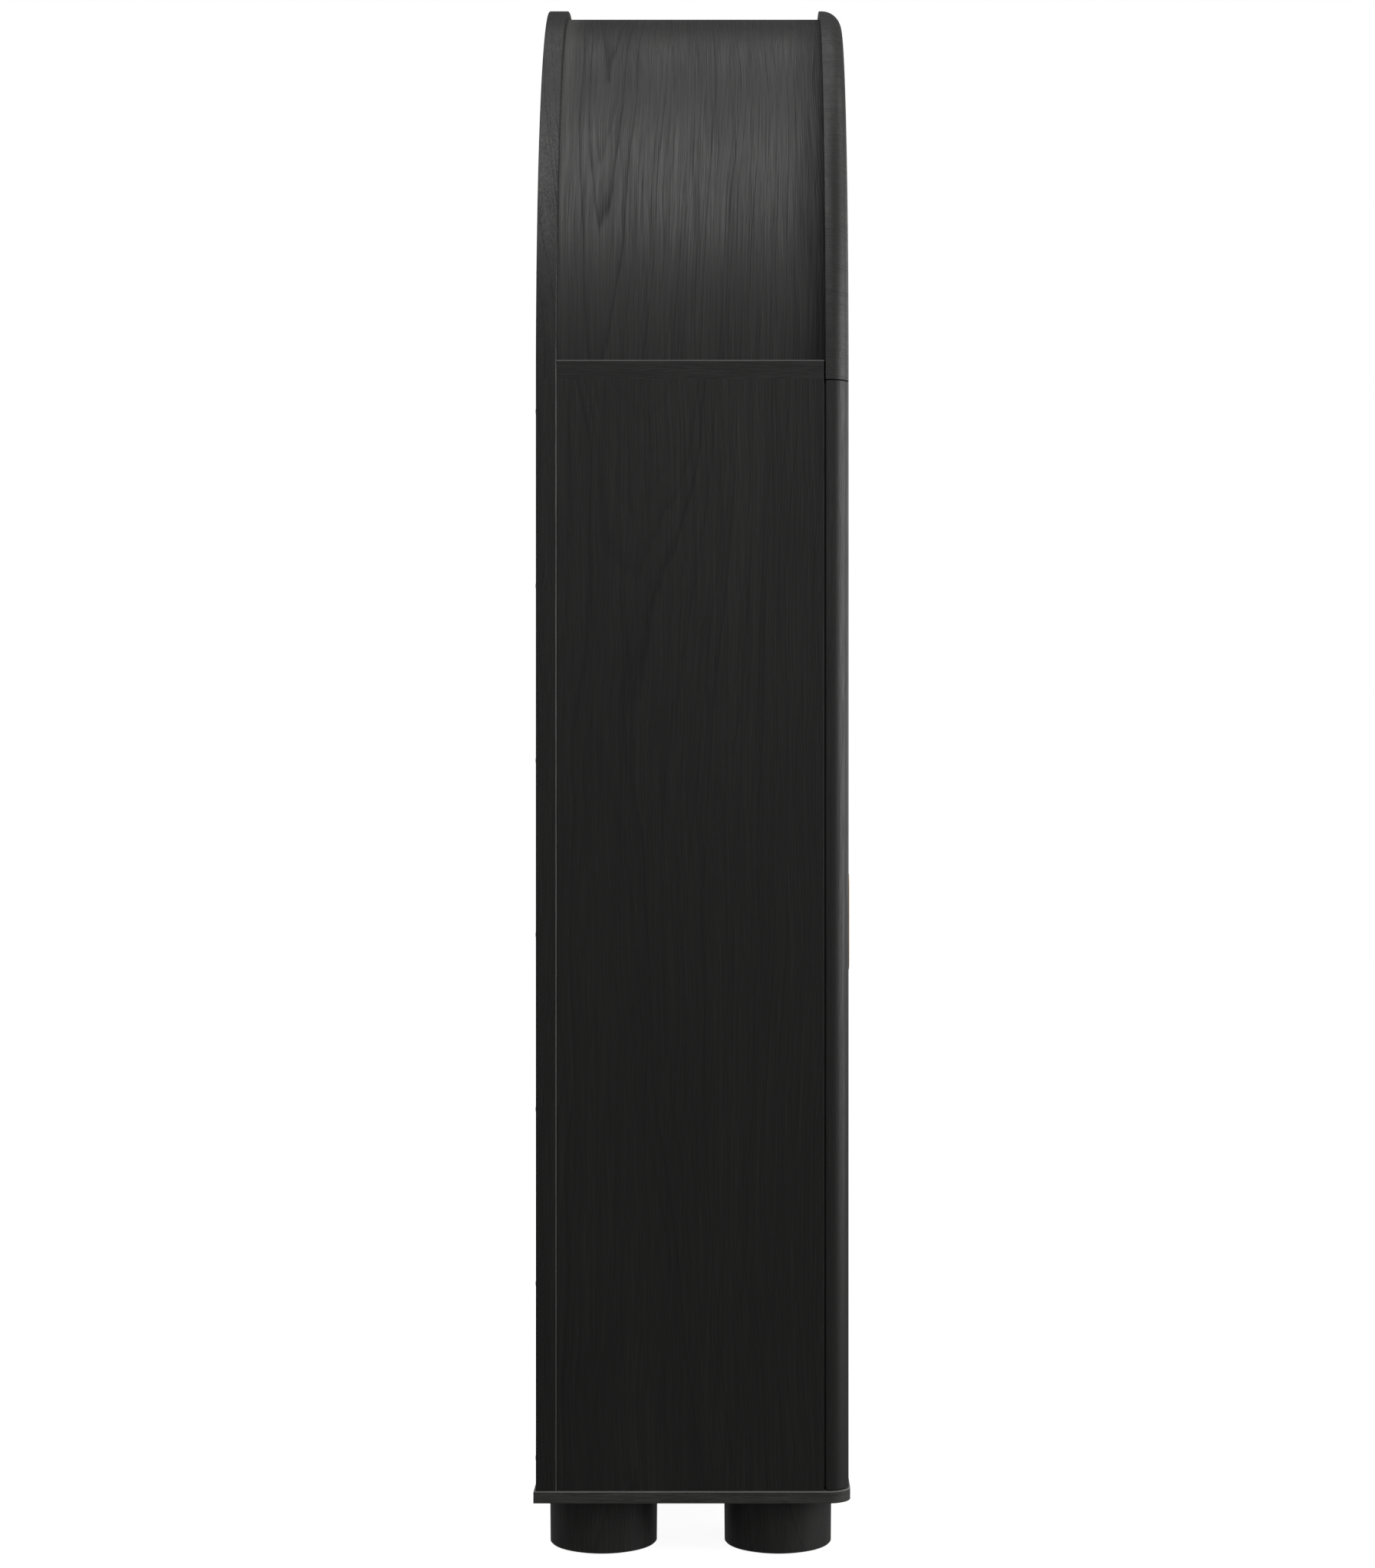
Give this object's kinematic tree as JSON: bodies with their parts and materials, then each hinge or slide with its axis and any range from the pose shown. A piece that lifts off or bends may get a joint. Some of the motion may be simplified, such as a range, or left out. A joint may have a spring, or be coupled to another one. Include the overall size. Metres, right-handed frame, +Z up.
{
  "type": "grandfather clock",
  "caption": "Tall arched grandfather clock in black stained wood on drum feet, with a glazed trunk door, a round hinged bezel, a pendulum and a weight-driven movement.",
  "frame": {"origin": "on the floor, under the middle of the clock's box", "axes": "+Z up; the dial and the trunk door face -Y; +X is the hinge side, on the right as seen from the front"},
  "size_m": [0.682, 0.4, 2.03],
  "materials": {
    "black_wood": "black stained open-grain veneer, satin lacquer",
    "rubber": "matt moulded glide",
    "dial_enamel": "ivory enamel, satin",
    "marker_black": "black lacquer",
    "brass": "brushed brass",
    "hand_brass": "satin brass",
    "bob_brass": "polished brass with spun lines",
    "steel": "brushed steel",
    "dark_steel": "blackened steel",
    "cable_steel": "stranded wire",
    "black_plastic": "moulded",
    "glass": "clear float glass"
  },
  "bodies": {
    "root": {"plinth_board": "black_wood", "foot_front_left": "black_wood", "foot_front_right": "black_wood", "foot_rear_left": "black_wood", "foot_rear_right": "black_wood", "foot_pads": "rubber", "trunk_side_left": "black_wood", "trunk_side_right": "black_wood", "trunk_back_panel": "black_wood", "trunk_floor_board": "black_wood", "trunk_top_board": "black_wood", "hood_base_board": "black_wood", "hood_barrel": "black_wood", "hood_back_arch": "black_wood", "hood_front_arch": "black_wood", "dial_plate": "dial_enamel", "hour_markers": "marker_black", "movement_front_plate": "brass", "movement_back_plate": "brass", "movement_pillars": "brass", "seatboard": "black_wood", "seatboard_cheeks": "black_wood", "suspension_cock": "brass", "door_hinge_case_leaves": "dark_steel", "door_hinge_pins": "steel", "bezel_hinge": "brass", "door_magnet": "black_plastic", "wall_bracket": "steel"},
    "trunk_door": {"door_stile_left": "black_wood", "door_stile_right": "black_wood", "door_rail_top": "black_wood", "door_rail_bottom": "black_wood", "door_glass": "glass", "door_glass_beads": "black_wood", "door_hinge_door_leaves": "dark_steel", "door_pull": "brass", "door_strike_plate": "steel"},
    "bezel": {"bezel_ring": "brass", "bezel_glass": "glass"},
    "minute_works": {"minute_hand": "hand_brass", "cannon_pinion": "steel", "hand_nut": "brass"},
    "hour_works": {"hour_hand": "hand_brass", "hour_wheel": "brass"},
    "motion_works": {"motion_wheel": "brass"},
    "centre_arbor": {"centre_wheel": "brass"},
    "third_arbor": {"third_wheel": "brass"},
    "escape_arbor": {"escape_wheel": "brass"},
    "great_wheel_body": {"great_wheel": "brass"},
    "drum": {"winding_drum": "brass"},
    "pallet_arbor": {"anchor": "steel"},
    "pendulum": {"suspension_spring": "steel", "pendulum_rod": "steel", "pendulum_bob": "bob_brass"},
    "rating": {"rating_nut": "brass"},
    "weight": {"weight_shell": "bob_brass", "weight_stirrup": "brass", "weight_cable": "cable_steel"},
    "pulley": {"weight_pulley": "brass"}
  },
  "joints": [
    {"name": "trunk_door_hinge", "type": "hinge", "parent": "root", "child": "trunk_door", "pos_m": [0.338, -0.167, 0.785], "axis": [0, 0, 1], "range_deg": [0, 110]},
    {"name": "bezel_swing", "type": "hinge", "parent": "root", "child": "bezel", "pos_m": [0.206, -0.198, 1.743], "axis": [0, 0, 1], "range_deg": [0, 110]},
    {"name": "minute_turn", "type": "hinge", "parent": "root", "child": "minute_works", "pos_m": [0, -0.15, 1.743], "axis": [0, 1, 0], "continuous": true},
    {"name": "hour_turn", "type": "hinge", "parent": "root", "child": "hour_works", "pos_m": [0, -0.15, 1.743], "axis": [0, 1, 0], "continuous": true},
    {"name": "motion_turn", "type": "hinge", "parent": "root", "child": "motion_works", "pos_m": [0.024, -0.138, 1.743], "axis": [0, 1, 0], "continuous": true},
    {"name": "third_turn", "type": "hinge", "parent": "root", "child": "third_arbor", "pos_m": [0, -0.1, 1.7754], "axis": [0, 1, 0], "continuous": true},
    {"name": "centre_turn", "type": "hinge", "parent": "root", "child": "centre_arbor", "pos_m": [0, -0.1, 1.743], "axis": [0, 1, 0], "continuous": true},
    {"name": "great_turn", "type": "hinge", "parent": "root", "child": "great_wheel_body", "pos_m": [0, -0.12, 1.691], "axis": [0, 1, 0], "continuous": true},
    {"name": "escape_turn", "type": "hinge", "parent": "root", "child": "escape_arbor", "pos_m": [0, -0.085, 1.806], "axis": [0, 1, 0], "continuous": true},
    {"name": "pendulum_swing", "type": "hinge", "parent": "root", "child": "pendulum", "pos_m": [0, -0.05, 1.84], "axis": [0, 1, 0], "range_deg": [-3.5, 3.5]},
    {"name": "pallet_rock", "type": "hinge", "parent": "root", "child": "pallet_arbor", "pos_m": [0, -0.085, 1.84], "axis": [0, 1, 0], "range_deg": [-3.5, 3.5]},
    {"name": "rating_nut_turn", "type": "hinge", "parent": "pendulum", "child": "rating", "pos_m": [0, -0.05, 0.7557], "axis": [0, 0, 1], "continuous": true},
    {"name": "weight_drop", "type": "slide", "parent": "root", "child": "weight", "axis": [0, 0, 1], "range_m": [-0.8, 0.12], "deforming": ["weight_cable"]},
    {"name": "drum_turn", "type": "hinge", "parent": "root", "child": "drum", "pos_m": [0, -0.1, 1.691], "axis": [0, 1, 0], "continuous": true},
    {"name": "pulley_turn", "type": "hinge", "parent": "weight", "child": "pulley", "pos_m": [0, -0.101, 1.25], "axis": [0, 1, 0], "continuous": true}
  ],
  "couplings": [
    {"joint": "hour_turn", "follows": "minute_turn", "ratio": 0.083333},
    {"joint": "motion_turn", "follows": "minute_turn", "ratio": -0.33333},
    {"joint": "centre_turn", "follows": "third_turn", "ratio": -0.125},
    {"joint": "great_turn", "follows": "third_turn", "ratio": 0.010417},
    {"joint": "escape_turn", "follows": "third_turn", "ratio": -7.5},
    {"joint": "pallet_rock", "follows": "pendulum_swing", "ratio": 1},
    {"joint": "drum_turn", "follows": "weight_drop", "rad_per_m": -106.95},
    {"joint": "pulley_turn", "follows": "weight_drop", "rad_per_m": -53.476}
  ]
}
